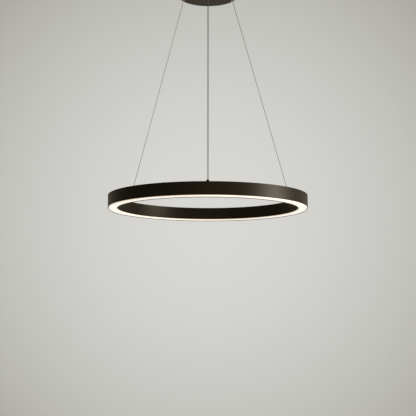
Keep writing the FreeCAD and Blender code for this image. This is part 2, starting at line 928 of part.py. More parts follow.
def make_gripper(side):
    x, y = exit_place(side)
    cone_top = "gripper_barrel_height - gripper_top_wall"
    barrel = revolved(
        f"gripper_body_{side}",
        [
            ("nose_radius + bore_play", "0 - gripper_flange_height"),
            ("gripper_flange_radius", "0 - gripper_flange_height"),
            ("gripper_flange_radius", "0"),
            ("gripper_barrel_radius", "0"),
            ("gripper_barrel_radius", "gripper_barrel_height"),
            ("wire_bore_radius + bore_play", "gripper_barrel_height"),
            ("wire_bore_radius + bore_play", cone_top),
            ("grip_radius + gripper_cone_widening", cone_top),
            ("grip_radius", "ball_level"),
            ("nose_radius + bore_play", "gripper_guide_height"),
        ],
    )
    keep(f"gripper_body_{side}", place(barrel, x=x, y=y, z="cup_floor"))

    bore = "wire_bore_radius + bore_play"
    tube_body = revolved(
        f"plunger_{side}",
        [
            ("nose_radius - nose_lip", "0 - nose_drop"),
            ("nose_radius", "0 - nose_drop"),
            ("nose_radius", "gripper_guide_height"),
            ("plunger_tube_radius", "gripper_guide_height"),
            ("plunger_tube_radius", "plunger_height"),
            (bore, "plunger_height"),
            (bore, "nose_mouth_depth - nose_drop"),
        ],
    )
    place(tube_body, x=x, y=y, z="cup_floor")
    level = "cup_floor + ball_level"
    pockets, balls = [], []
    for index in range(int(value("ball_count"))):
        yaw = f"60 + {index} * 360 / ball_count"
        room = "ball_radius + tapped_play"
        name = f"pocket_{side}_{index}"
        pockets.append(rod(name, room, "nose_radius * 2", x=x, y=y, z=level, yaw=yaw, pitch="90"))
        ball_x = f"{x} + ball_reach * cos({yaw})"
        ball_y = f"{y} + ball_reach * sin({yaw})"
        balls.append(ball(f"ball_{side}_{index}", "ball_radius", x=ball_x, y=ball_y, z=level))
    keep(f"gripper_plunger_{side}", cut(f"gripper_plunger_{side}", tube_body, pockets))
    keep(f"gripper_balls_{side}", group(f"gripper_balls_{side}", balls))

    spring = revolved(
        f"gripper_spring_{side}",
        [
            ("spring_inner_radius", "plunger_height"),
            ("spring_radius", "plunger_height"),
            ("spring_radius", cone_top),
            ("spring_inner_radius", cone_top),
        ],
    )
    keep(f"gripper_spring_{side}", place(spring, x=x, y=y, z="cup_floor"))


def make_grippers():
    nuts, tails = [], []
    for side in WIRES:
        make_gripper(side)
        x, y = exit_place(side)
        nuts.append(
            make_nut(
                f"gripper_nut_{side}",
                "nut_flat_radius",
                "gripper_barrel_radius",
                x=x,
                y=y,
                z="cup_floor_inside",
                kept=False,
            )
        )
        tails.append(rod(f"tail_{side}", "wire_diameter / 2", "tail_length", x=x, y=y, z="tail_start"))
    keep("gripper_nuts", group("gripper_nuts", nuts))
    keep("wire_tails", group("wire_tails", tails))


# ---------------------------------------------------------------- wires and cable


def make_suspension():
    """The free wires, bent where they leave the cup and where they reach the ring."""
    for side, (_, _, sideways, bend, _) in WIRES.items():
        exit_x, exit_y = exit_place(side)
        anchor_x, anchor_y = anchor_place(side)
        tube(
            f"suspension_wire_{side}",
            [
                (exit_x, exit_y, "tail_start"),
                (exit_x, exit_y, "exit_bend"),
                (f"{anchor_x} + {sideways}", anchor_y, bend),
                (f"{anchor_x} + {sideways}", anchor_y, f"{bend} - bend_stub"),
            ],
            "wire_diameter",
        )


# ---------------------------------------------------------------- ring


def make_ring_channel():
    outer_face = "ring_radius - profile_wall"
    inner_face = "ring_inner_radius + profile_wall"
    low = "snap_level - profile_height"
    high = "snap_level + snap_height - profile_height"
    body = revolved(
        "ring_profile",
        [
            ("ring_radius", "0"),
            ("ring_radius", "0 - profile_height"),
            (outer_face, "0 - profile_height"),
            (outer_face, low),
            (f"{outer_face} + snap_depth", low),
            (f"{outer_face} + snap_depth", high),
            (outer_face, high),
            (outer_face, "0 - profile_top"),
            (inner_face, "0 - profile_top"),
            (inner_face, high),
            (f"{inner_face} - snap_depth", high),
            (f"{inner_face} - snap_depth", low),
            (inner_face, low),
            (inner_face, "0 - profile_height"),
            ("ring_inner_radius", "0 - profile_height"),
            ("ring_inner_radius", "0"),
        ],
    )
    round_circles(body, [("ring_radius", "0"), ("ring_inner_radius", "0")], "profile_edge_round")
    place(body, z="ring_top")
    tools = []
    for side in WIRES:
        shank = "bush_shank_radius" if side == "front" else "anchor_shank_radius"
        x, y = anchor_place(side)
        low = "ring_top - profile_top * 2"
        hole = f"{shank} + tapped_play"
        tools.append(rod(f"fitting_hole_{side}", hole, "profile_top * 3", x=x, y=y, z=low))
    keep("ring_channel", cut("ring_channel", body, tools))


def make_diffuser():
    outer = "ring_radius - profile_wall - diffuser_play"
    inner = "ring_inner_radius + profile_wall + diffuser_play"
    top = "diffuser_leg - profile_height"
    plate_top = "diffuser_face + diffuser_thickness"
    bead_low = "snap_level + diffuser_play - profile_height"
    bead_high = "snap_level + snap_height - diffuser_play - profile_height"
    reach = "snap_depth"
    body = revolved(
        "diffuser",
        [
            (inner, "diffuser_low"),
            (f"{inner} + diffuser_lip_width", "diffuser_low"),
            (f"{inner} + diffuser_lip_width", "diffuser_face"),
            (f"{outer} - diffuser_lip_width", "diffuser_face"),
            (f"{outer} - diffuser_lip_width", "diffuser_low"),
            (outer, "diffuser_low"),
            (outer, bead_low),
            (f"{outer} + {reach}", bead_low),
            (f"{outer} + {reach}", bead_high),
            (outer, bead_high),
            (outer, top),
            (f"{outer} - diffuser_leg_wall", top),
            (f"{outer} - diffuser_leg_wall", plate_top),
            (f"{inner} + diffuser_leg_wall", plate_top),
            (f"{inner} + diffuser_leg_wall", top),
            (inner, top),
            (inner, bead_high),
            (f"{inner} - {reach}", bead_high),
            (f"{inner} - {reach}", bead_low),
            (inner, bead_low),
        ],
    )
    round_circles(body, [(inner, "diffuser_low"), (outer, "diffuser_low")], "diffuser_round")
    keep("diffuser", place(body, z="ring_top"))


def make_tray():
    outer = "ring_radius - profile_wall - tray_play"
    inner = "ring_inner_radius + profile_wall + tray_play"
    section = [(inner, "tray_under"), (outer, "tray_under"), (outer, "tray_top"), (inner, "tray_top")]
    body = revolved("tray", section)
    place(body, z="ring_top")
    deep = "tray_thickness * 3"
    low = "ring_top + tray_under - tray_thickness"
    tools, pillars, screws = [], [], []
    for index in range(int(value("tray_screw_count"))):
        angle = f"tray_screw_angle + {index} * 360 / tray_screw_count"
        x, y = around("tray_screw_circle", angle)
        tools.append(rod(f"tray_hole_{index}", "tray_screw_radius + clearance_play", deep, x=x, y=y, z=low))
        pillar = rod(f"pillar_{index}", "standoff_radius", "tray_gap", x=x, y=y, z="ring_top + tray_top")
        tapped = "tray_screw_radius + tapped_play"
        depth = "standoff_thread_depth"
        thread = rod(f"pillar_thread_{index}", tapped, depth, x=x, y=y, z="ring_top + tray_top")
        pillars.append(cut(f"pillar_cut_{index}", pillar, [thread]))
        screw = revolved(
            f"tray_screw_{index}",
            [
                ("0", "0 - tray_screw_head_height"),
                ("tray_screw_head_radius", "0 - tray_screw_head_height"),
                ("tray_screw_head_radius", "0"),
                ("tray_screw_radius", "0"),
                ("tray_screw_radius", "tray_screw_length"),
                ("0", "tray_screw_length"),
            ],
        )
        screws.append(place(screw, x=x, y=y, z="ring_top + tray_under"))
    for board in range(int(value("board_count"))):
        for index in range(int(value("board_screw_count"))):
            x, y = around("board_screw_circle", board_screw_angle(board, index))
            hole = "board_screw_radius + tapped_play"
            tools.append(rod(f"tray_tap_{board}_{index}", hole, deep, x=x, y=y, z=low))
    x, y = around("ring_middle_radius", "feed_angle")
    stem_hole = "connector_stem + 2 * clearance_play"
    slot = doc.addObject("Part::Box", "feed_slot")
    for prop, size in (("Length", stem_hole), ("Width", stem_hole), ("Height", deep)):
        bind(slot, prop, size)
    half = f"({stem_hole}) / 2"
    corner_x = f"{x} - {half} * cos(feed_angle) + {half} * sin(feed_angle)"
    corner_y = f"{y} - {half} * sin(feed_angle) - {half} * cos(feed_angle)"
    tools.append(place(slot, x=corner_x, y=corner_y, z=low, yaw="feed_angle"))
    keep("board_tray", cut("board_tray", body, tools))
    keep("tray_standoffs", group("tray_standoffs", pillars))
    keep("tray_screws", group("tray_screws", screws))


def board_start(board):
    return f"(feed_angle + board_gap_angle / 2 + {board} * 360 / board_count)"


def board_screw_angle(board, index):
    step = "(board_span - 2 * board_screw_margin_angle) / (board_screw_count - 1)"
    return f"({board_start(board)} + board_screw_margin_angle + {index} * {step})"


def make_boards():
    inner = "ring_middle_radius - board_width / 2"
    level = "ring_top + board_under"
    chips, screws = [], []
    for board in range(int(value("board_count"))):
        body = revolved(
            f"board_{board + 1}",
            [
                (inner, "0"),
                ("board_outer_radius", "0"),
                ("board_outer_radius", "board_thickness"),
                (inner, "board_thickness"),
            ],
            span="board_span",
        )
        place(body, z=level, yaw=f"{board_start(board)} - 90")
        tools = []
        for index in range(int(value("board_screw_count"))):
            x, y = around("board_screw_circle", board_screw_angle(board, index))
            low = f"{level} - board_thickness"
            hole = "board_screw_radius + bore_play"
            tools.append(rod(f"board_hole_{board}_{index}", hole, "board_thickness * 3", x=x, y=y, z=low))
            screw = revolved(
                f"board_screw_{board}_{index}",
                [
                    ("0", "0 - board_screw_head_height"),
                    ("board_screw_head_radius", "0 - board_screw_head_height"),
                    ("board_screw_head_radius", "0"),
                    ("board_screw_radius", "0"),
                    ("board_screw_radius", "board_thickness + tray_thickness + screw_reach"),
                    ("0", "board_thickness + tray_thickness + screw_reach"),
                ],
            )
            screws.append(place(screw, x=x, y=y, z=level))
        keep(f"led_board_{board + 1}", cut(f"led_board_{board + 1}", body, tools))
        row = extruded(f"chip_row_{board + 1}", tile("chip_width", "chip_length"), "chip_height")
        repeat_round(row, "chip_count", "board_span - 2 * chip_margin_angle")
        first = f"{board_start(board)} + chip_margin_angle - 90"
        chips.append(place(row, z=f"{level} - chip_height", yaw=first))
    keep("led_chips", group("led_chips", chips))
    keep("board_screws", group("board_screws", screws))


def tile(width, length):
    """The corners of a rectangle on the ring's middle line, where it crosses +X."""
    near, far = f"ring_middle_radius - {width} / 2", f"ring_middle_radius + {width} / 2"
    back, front = f"0 - {length} / 2", f"{length} / 2"
    return [(near, back), (far, back), (far, front), (near, front)]


def make_board_links():
    body = extruded("board_links", tile("link_width", "link_length"), "link_height")
    repeat_round(body, "board_count", "360")
    keep("board_links", place(body, z="ring_top + board_under - link_height", yaw="feed_angle - 90"))


def make_feed_connector():
    """The plug that takes the cable through the tray to the gap between two boards."""
    turn = "feed_angle - 90"
    body = extruded("connector", tile("connector_width", "connector_length"), "connector_height")
    place(body, z="ring_top + tray_top", yaw=turn)
    reach = "tray_thickness + board_thickness + connector_stem_reach"
    stem = extruded("connector_stem", tile("connector_stem", "connector_stem"), reach)
    place(stem, z="ring_top + board_under", yaw=turn)
    keep("feed_connector", joined("feed_connector", [body, stem]))


# ---------------------------------------------------------------- fittings on top of the ring


def make_front_bush():
    x, y = anchor_place("front")
    body = revolved(
        "bush",
        [
            ("0", "0 - bush_shank_length"),
            ("bush_shank_radius", "0 - bush_shank_length"),
            ("bush_shank_radius", "0"),
            ("bush_radius", "0"),
            ("bush_radius", "bush_height"),
            ("0", "bush_height"),
        ],
    )
    place(body, x=x, y=y, z="ring_top")
    low = "ring_top - bush_shank_length - cut_over"
    length = "bush_height + bush_shank_length + 2 * cut_over"
    mouth = "ring_top + bush_height - flare_depth"
    tools = []
    bores = (("wire", "wire_side", "wire_bore_radius"), ("cable", "cable_side", "cable_bore_radius"))
    for name, side, bore in bores:
        tools.append(rod(f"bush_bore_{name}", bore, length, x=side, y=y, z=low))
        wide = f"{bore} + flare_widening"
        tools.append(taper(f"bush_flare_{name}", bore, wide, "flare_depth", x=side, y=y, z=mouth))
    keep("front_bush", cut("front_bush", body, tools))
    nut_z = "ring_top - profile_top - nut_height"
    make_nut("bush_nut", "bush_nut_flat_radius", "bush_shank_radius", x=x, y=y, z=nut_z)


def make_side_anchors():
    nuts = []
    for side in ("left", "right"):
        x, y = anchor_place(side)
        body = revolved(
            f"anchor_{side}",
            [
                ("wire_bore_radius", "0 - anchor_shank_length"),
                ("anchor_shank_radius", "0 - anchor_shank_length"),
                ("anchor_shank_radius", "0"),
                ("anchor_head_radius", "0"),
                ("anchor_head_radius", "anchor_head_height"),
                ("wire_bore_radius + flare_widening", "anchor_head_height"),
                ("wire_bore_radius", "anchor_head_height - flare_depth"),
            ],
        )
        keep(f"wire_anchor_{side}", place(body, x=x, y=y, z="ring_top"))
        nut_z = "ring_top - profile_top - nut_height"
        nuts.append(
            make_nut(
                f"anchor_nut_{side}",
                "anchor_nut_flat_radius",
                "anchor_shank_radius",
                x=x,
                y=y,
                z=nut_z,
                kept=False,
            )
        )
    keep("anchor_nuts", group("anchor_nuts", nuts))


def make_wire_ends():
    """What stays in the ring of each wire, and the ferrule pressed on its end."""
    ends, stops = [], []
    for side, (_, _, sideways, bend, end) in WIRES.items():
        x, y = anchor_place(side)
        x = f"{x} + {sideways}"
        length = f"({bend}) - bend_stub - ({end})"
        ends.append(rod(f"wire_end_{side}", "wire_diameter / 2", length, x=x, y=y, z=end))
        stops.append(rod(f"stop_{side}", "stop_radius", "stop_length", x=x, y=y, z=f"{end} - stop_length"))
    keep("wire_ends", group("wire_ends", ends))
    keep("wire_stops", group("wire_stops", stops))


# ---------------------------------------------------------------- low voltage cable


def front_wire_y(level):
    """Y of the front wire's straight run at that height."""
    _, low = around("ring_middle_radius", "0")
    _, high = around("exit_radius", "0")
    return f"({high}) + (({low}) - ({high})) * (({level}) - (exit_bend)) / ((front_bend) - (exit_bend))"


def make_power_cable():
    def below(depth):
        return f"cup_floor - {depth}"

    tip = "gland_flange_height + gland_nose_length"
    join = "clip_drop - 16"
    bush_x, bush_y = anchor_place("front")
    tube(
        "power_cable",
        [
            ("gland_x", "0", below(f"({tip})")),
            ("gland_x", "0", below("15.2")),
            ("gland_x - 1.4", "0 - 9", below("25")),
            ("gland_x - 4.8", "0 - 30", below("34")),
            ("cable_side - 0.2", "0 - 55", below("48")),
            ("cable_side", "0 - 82", below("70")),
            ("cable_side", "0 - 105", below("90")),
            ("cable_side", front_wire_y(below(f"({join})")), below(f"({join})")),
            ("cable_side", bush_y, "front_bend"),
            ("cable_side", bush_y, "cable_end"),
        ],
        "cable_diameter",
    )
    feed_x, feed_y = around("ring_middle_radius", "feed_angle")
    face_x = f"{feed_x} + connector_length / 2 * cos(feed_angle)"
    face_y = f"{feed_y} + connector_length / 2 * sin(feed_angle)"
    lead_level = "ring_top - profile_top - tray_gap + connector_height / 2"
    shank_end = "ring_top - bush_shank_length"
    tube(
        "feed_lead",
        [
            ("cable_side", bush_y, "cable_end"),
            ("cable_side", bush_y, f"{shank_end} - 1.6"),
            ("cable_side - 1.6", bush_y, f"{shank_end} - 4.2"),
            ("cable_side - 5", bush_y, f"{shank_end} - 5.6"),
            (f"{face_x} + 5 * cos(feed_angle)", f"{face_y} + 5 * sin(feed_angle)", lead_level),
            (face_x, face_y, lead_level),
        ],
        "cable_diameter",
    )


def make_cable_clip():
    """A clear sleeve that holds the cable beside the front wire."""
    tilt = "atan((exit_radius - ring_middle_radius) / (exit_bend - front_bend))"
    level = "cup_floor - clip_drop"
    middle_y = front_wire_y(level)
    height = "cable_diameter + 2 * clip_wall"
    width = "pair_spacing + cable_diameter / 2 + wire_diameter / 2 + 2 * clip_wall"
    shell = doc.addObject("Part::Box", "clip_solid")
    bind(shell, "Length", width)
    bind(shell, "Width", height)
    bind(shell, "Height", "clip_length")
    place(
        shell,
        x="0 - pair_spacing / 2 - cable_diameter / 2 - clip_wall",
        y=f"{middle_y} - ({height}) / 2 * cos({tilt})",
        z=f"{level} - ({height}) / 2 * sin({tilt})",
        roll=tilt,
    )
    tools = []
    lines = (("wire", "wire_side", "wire_diameter"), ("cable", "cable_side", "cable_diameter"))
    for name, side, size in lines:
        tools.append(
            rod(
                f"clip_bore_{name}",
                f"{size} / 2 + clip_play",
                "clip_length * 3",
                x=side,
                y=f"{middle_y} + clip_length * sin({tilt})",
                z=f"{level} - clip_length * cos({tilt})",
                roll=tilt,
            )
        )
    keep("cable_clip", cut("cable_clip", shell, tools))


# ---------------------------------------------------------------- build, check and write


def build():
    make_ceiling_plate()
    make_supply_grommet()
    make_cup_shell()
    make_cup_screws()
    make_driver()
    make_plate_screws()
    make_terminal_block()
    make_earth()
    make_inner_leads()
    make_gland()
    make_grippers()
    make_suspension()
    make_ring_channel()
    make_diffuser()
    make_tray()
    make_boards()
    make_board_links()
    make_feed_connector()
    make_front_bush()
    make_side_anchors()
    make_wire_ends()
    make_power_cable()
    make_cable_clip()


def check():
    """Stops the script if any object failed to compute or any sub-part isn't sound."""
    faults = []
    for thing in doc.Objects:
        if any(state in thing.State for state in ("Invalid", "Error")):
            faults.append(f"{thing.Name}: {thing.State}")
    for label, thing in pieces.items():
        if thing.Shape.isNull() or not thing.Shape.isValid() or not thing.Shape.Solids:
            faults.append(f"{label}: its shape isn't sound")
    if faults:
        print("\n".join(faults))
        sys.exit(1)


def write():
    os.makedirs("parts", exist_ok=True)
    for label, thing in pieces.items():
        thing.Shape.exportStep(f"parts/{label}.step")
        print(f"{label}: {len(thing.Shape.Solids)} solids, {thing.Shape.Volume:.1f} mm3")
    print(f"{len(pieces)} nodes")


build()
doc.recompute()
check()
write()
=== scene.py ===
"""The ring pendant's looks: finishes, wires, cable, clip and springs, studio light and the camera."""

import json
import math

import bmesh
import bpy
from mathutils import Matrix, Vector


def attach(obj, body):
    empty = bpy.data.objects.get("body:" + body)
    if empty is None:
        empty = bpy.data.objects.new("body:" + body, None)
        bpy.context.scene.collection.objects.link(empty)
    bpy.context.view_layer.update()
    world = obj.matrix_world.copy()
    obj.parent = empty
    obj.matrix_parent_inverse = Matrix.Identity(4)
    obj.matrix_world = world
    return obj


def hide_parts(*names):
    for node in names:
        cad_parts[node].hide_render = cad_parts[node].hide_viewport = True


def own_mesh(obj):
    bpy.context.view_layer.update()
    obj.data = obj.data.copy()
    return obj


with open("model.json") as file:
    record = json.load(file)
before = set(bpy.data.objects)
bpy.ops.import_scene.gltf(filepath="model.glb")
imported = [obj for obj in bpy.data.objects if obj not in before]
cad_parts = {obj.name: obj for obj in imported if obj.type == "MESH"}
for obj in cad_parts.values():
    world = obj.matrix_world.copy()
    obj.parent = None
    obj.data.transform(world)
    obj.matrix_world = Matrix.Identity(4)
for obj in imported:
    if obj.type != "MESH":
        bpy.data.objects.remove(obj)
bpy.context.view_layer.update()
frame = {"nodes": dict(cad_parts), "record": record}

MM = 0.001

# ---------------------------------------------------------------- levels and places, in millimetres

CUP_FLOOR = -40.0
RING_TOP = -667.5
EXIT_RADIUS = 83.0  # from the lamp's middle to the grippers
RING_MIDDLE = 285.0  # from the lamp's middle to the ring's middle line

PROFILE_HEIGHT = 37.0
PROFILE_BOTTOM = RING_TOP - PROFILE_HEIGHT
FACE_DROP = 2.2  # from the profile's edges down to the strip's face
DIFFUSER_FACE = PROFILE_BOTTOM - FACE_DROP
STRIP_HALF = 12.55  # from the ring's middle line to the strip's sides

NOSE_DROP = 3.0  # from the cup's underside down to the grippers' mouths
MOUTH_DEPTH = 0.8  # from a mouth up to the wire's bend in it
BUSH_HEIGHT = 5.7
ANCHOR_HEIGHT = 1.5
BEND_DEPTH = 1.5  # from a fitting's top down to the bend in it
EXIT_BEND = CUP_FLOOR - NOSE_DROP + MOUTH_DEPTH
FRONT_BEND = RING_TOP + BUSH_HEIGHT - BEND_DEPTH
SIDE_BEND = RING_TOP + ANCHOR_HEIGHT - BEND_DEPTH
STUB = 2.0  # the wires' straight stretch at each bend
CABLE_STUB = 3.0
TAIL_START = EXIT_BEND + STUB

WIRE_SIZE = 1.5
CABLE_SIZE = 1.2
PAIR_SIDE = 1.4  # from the middle to the front wire, and to the cable on its other side
CLIP_DROP = 124.0  # from the cup down to the clip
JOIN_DROP = CLIP_DROP - 16.0  # from the cup down to where the cable meets the wire

# ---------------------------------------------------------------- node helpers


def new_material(name):
    material = bpy.data.materials.new(name)
    material.use_nodes = True
    tree = material.node_tree
    return material, tree, tree.nodes["Principled BSDF"]


def node(tree, kind, **settings):
    made = tree.nodes.new(kind)
    for key, setting in settings.items():
        if key in made.inputs:
            made.inputs[key].default_value = setting
        else:
            setattr(made, key, setting)
    return made


def object_place(tree):
    return node(tree, "ShaderNodeTexCoord").outputs["Object"]


def speckle(tree, scale, detail=4.0):
    """Noise over the object's own metres."""
    noise = node(tree, "ShaderNodeTexNoise", Scale=scale, Detail=detail)
    tree.links.new(object_place(tree), noise.inputs["Vector"])
    return noise.outputs["Fac"]


def spread(tree, source, low, high, start=0.3, end=0.7):
    """The source from start to end carried to low to high."""
    reach = node(tree, "ShaderNodeMapRange")
    reach.inputs["From Min"].default_value = start
    reach.inputs["From Max"].default_value = end
    reach.inputs["To Min"].default_value = low
    reach.inputs["To Max"].default_value = high
    tree.links.new(source, reach.inputs["Value"])
    return reach.outputs["Result"]


def combine(tree, operation, first, second):
    """A maths node on two sockets or numbers."""
    made = node(tree, "ShaderNodeMath", operation=operation)
    for socket, part in zip(made.inputs, (first, second)):
        if isinstance(part, (int, float)):
            socket.default_value = part
        else:
            tree.links.new(part, socket)
    return made.outputs["Value"]


def tinted(tree, source, dark, light):
    mix = node(tree, "ShaderNodeMix", data_type="RGBA")
    # the colour sockets are the ones with these indices
    mix.inputs[6].default_value = (*dark, 1.0)
    mix.inputs[7].default_value = (*light, 1.0)
    tree.links.new(source, mix.inputs[0])
    return mix.outputs[2]


def blended(tree, share, under, over):
    """The colour under, carried to the plain colour over by its share."""
    mix = node(tree, "ShaderNodeMix", data_type="RGBA")
    tree.links.new(share, mix.inputs[0])
    tree.links.new(under, mix.inputs[6])
    mix.inputs[7].default_value = (*over, 1.0)
    return mix.outputs[2]


def bumped(tree, shader, source, strength, distance):
    bump = node(tree, "ShaderNodeBump", Strength=strength, Distance=distance)
    tree.links.new(source, bump.inputs["Height"])
    tree.links.new(bump.outputs["Normal"], shader.inputs["Normal"])


def shade(colour, share):
    return tuple(min(1.0, part * share) for part in colour)


def finish_of(name, colour, rough, grain, metal=0.0, vary=0.15, specular=0.5):
    """A surface whose colour, gloss and skin vary a little, at a grain of so many specks to the metre."""
    material, tree, shader = new_material(name)
    broad = speckle(tree, grain / 12.0, 3.0)
    fine = speckle(tree, grain, 3.0)
    tone = tinted(tree, broad, shade(colour, 1 - vary), shade(colour, 1 + vary))
    tree.links.new(tone, shader.inputs["Base Color"])
    tree.links.new(spread(tree, fine, rough * 0.85, min(1.0, rough * 1.15)), shader.inputs["Roughness"])
    shader.inputs["Metallic"].default_value = metal
    shader.inputs["Specular IOR Level"].default_value = specular
    bumped(tree, shader, fine, 0.05, 0.0004)
    return material


# ---------------------------------------------------------------- finishes

PAINT = (0.0112, 0.0080, 0.0030)
PAINT_GLINT = (1.0, 0.88, 0.72)
CUP_PAINTED_LIGHT = 1.3  # painted light: how much paler the cup's copy of the ring's paint is, so the cup looks more brightly lit


def powder_coat(name, colour):
    """Satin dark bronze paint with the faint orange peel of a baked powder."""
    material, tree, shader = new_material(name)
    peel = speckle(tree, 700.0, 2.0)
    dust = speckle(tree, 2600.0, 2.0)
    cloud = speckle(tree, 9.0, 2.0)
    tree.links.new(tinted(tree, cloud, shade(colour, 0.9), shade(colour, 1.12)), shader.inputs["Base Color"])
    tree.links.new(spread(tree, dust, 0.40, 0.48), shader.inputs["Roughness"])
    shader.inputs["Specular IOR Level"].default_value = 0.32
    shader.inputs["Specular Tint"].default_value = (*PAINT_GLINT, 1.0)
    bumped(tree, shader, peel, 0.12, 0.0003)
    return material


def off_middle_line(tree, place):
    """How far a point is from the middle line of the strip, in metres."""
    flat = node(tree, "ShaderNodeVectorMath", operation="MULTIPLY")
    flat.inputs[1].default_value = (1.0, 1.0, 0.0)
    tree.links.new(place, flat.inputs[0])
    radius = node(tree, "ShaderNodeVectorMath", operation="LENGTH")
    tree.links.new(flat.outputs["Vector"], radius.inputs[0])
    shift = combine(tree, "SUBTRACT", radius.outputs["Value"], RING_MIDDLE * MM)
    return combine(tree, "ABSOLUTE", shift, 0.0)


OPAL_GLOW = 0.68
LIT = (1.0, 0.955, 0.85)
# painted shade: the warmer, dimmer glow and the tan colour of the strip's sides next to the profile
WALL_SHADED_GLOW = (0.80, 0.43, 0.15)
LIP_TONE = (0.09, 0.035, 0.008)
WALL_SHADED_TONE = (0.60, 0.40, 0.20)
WALL_SHADE_DEPTH = 1.4  # painted shade: how far below the profile the strip's sides take on their full light, in millimetres
FACET = 0.2  # how far a flat facet may lie inside the round side
LIP_START = 0.02  # how far below the strip's face its lips count as lips


def opal(name):
    """Milky acrylic, lit all over but for the lips of its face, with painted shade where it leaves the
    profile: a warmer, dimmer glow and a tan colour there.
    """
    material, tree, shader = new_material(name)
    place = object_place(tree)
    split = node(tree, "ShaderNodeSeparateXYZ")
    tree.links.new(place, split.inputs["Vector"])
    level = split.outputs["Z"]
    away = off_middle_line(tree, place)
    within = combine(tree, "LESS_THAN", away, (STRIP_HALF - FACET) * MM)
    low = combine(tree, "LESS_THAN", level, (DIFFUSER_FACE - LIP_START) * MM)
    lip = combine(tree, "MULTIPLY", within, low)
    # painted shade of the profile's walls on the strip's sides, full at the profile and gone below it
    wall_shade = spread(tree, level, 0.0, 1.0, (PROFILE_BOTTOM - WALL_SHADE_DEPTH) * MM, PROFILE_BOTTOM * MM)
    cloud = speckle(tree, 14.0, 2.0)
    lit = combine(tree, "MULTIPLY", combine(tree, "SUBTRACT", 1.0, lip), OPAL_GLOW)
    glow = combine(tree, "MULTIPLY", lit, spread(tree, cloud, 0.985, 1.015))
    tree.links.new(glow, shader.inputs["Emission Strength"])
    tree.links.new(tinted(tree, wall_shade, LIT, WALL_SHADED_GLOW), shader.inputs["Emission Color"])
    milk = tinted(tree, cloud, (0.72, 0.70, 0.66), (0.78, 0.76, 0.72))
    side = blended(tree, wall_shade, milk, WALL_SHADED_TONE)
    tree.links.new(blended(tree, lip, side, LIP_TONE), shader.inputs["Base Color"])
    tree.links.new(spread(tree, speckle(tree, 900.0), 0.5, 0.6), shader.inputs["Roughness"])
    bumped(tree, shader, speckle(tree, 1500.0), 0.03, 0.0002)
    return material


def strands(name, colour, rough, metal, count, lay):
    """Twisted strands: the height runs as a sine round the wire and along its lay, and the colour follows it,
    with painted shade in the grooves and a painted highlight on the crowns.
    """
    material, tree, shader = new_material(name)
    split = node(tree, "ShaderNodeSeparateXYZ")
    tree.links.new(node(tree, "ShaderNodeTexCoord").outputs["UV"], split.inputs["Vector"])
    turns = combine(tree, "MULTIPLY", split.outputs["X"], 2 * math.pi * count)
    travel = combine(tree, "MULTIPLY", split.outputs["Y"], 2 * math.pi * count / (lay * MM))
    wave = combine(tree, "SINE", combine(tree, "ADD", travel, turns), 0.0)
    height = spread(tree, wave, 0.0, 1.0, -1.0, 1.0)
    # painted shade in the grooves and a painted highlight on the crowns, from the same height
    tone = tinted(tree, height, shade(colour, 0.72), shade(colour, 1.18))
    tree.links.new(tone, shader.inputs["Base Color"])
    grain = speckle(tree, 3000.0)
    tree.links.new(spread(tree, grain, rough * 0.85, rough * 1.15), shader.inputs["Roughness"])
    shader.inputs["Metallic"].default_value = metal
    bumped(tree, shader, height, 0.5, 0.00006)
    return material


def clear_plastic(name):
    material, tree, shader = new_material(name)
    cloud = speckle(tree, 300.0)
    tree.links.new(tinted(tree, cloud, (0.86, 0.86, 0.85), (0.95, 0.95, 0.94)), shader.inputs["Base Color"])
    tree.links.new(spread(tree, speckle(tree, 1200.0), 0.12, 0.22), shader.inputs["Roughness"])
    shader.inputs["Transmission Weight"].default_value = 0.75
    shader.inputs["IOR"].default_value = 1.49
    bumped(tree, shader, cloud, 0.05, 0.0001)
    return material


def earth_skin(name):
    """Green insulation with a yellow stripe, as earth leads have."""
    material, tree, shader = new_material(name)
    wave = node(tree, "ShaderNodeTexWave", Scale=120.0)
    tree.links.new(object_place(tree), wave.inputs["Vector"])
    stripe = combine(tree, "GREATER_THAN", wave.outputs["Fac"], 0.6)
    tree.links.new(tinted(tree, stripe, (0.05, 0.28, 0.03), (0.75, 0.6, 0.04)), shader.inputs["Base Color"])
    shader.inputs["Roughness"].default_value = 0.4
    return material


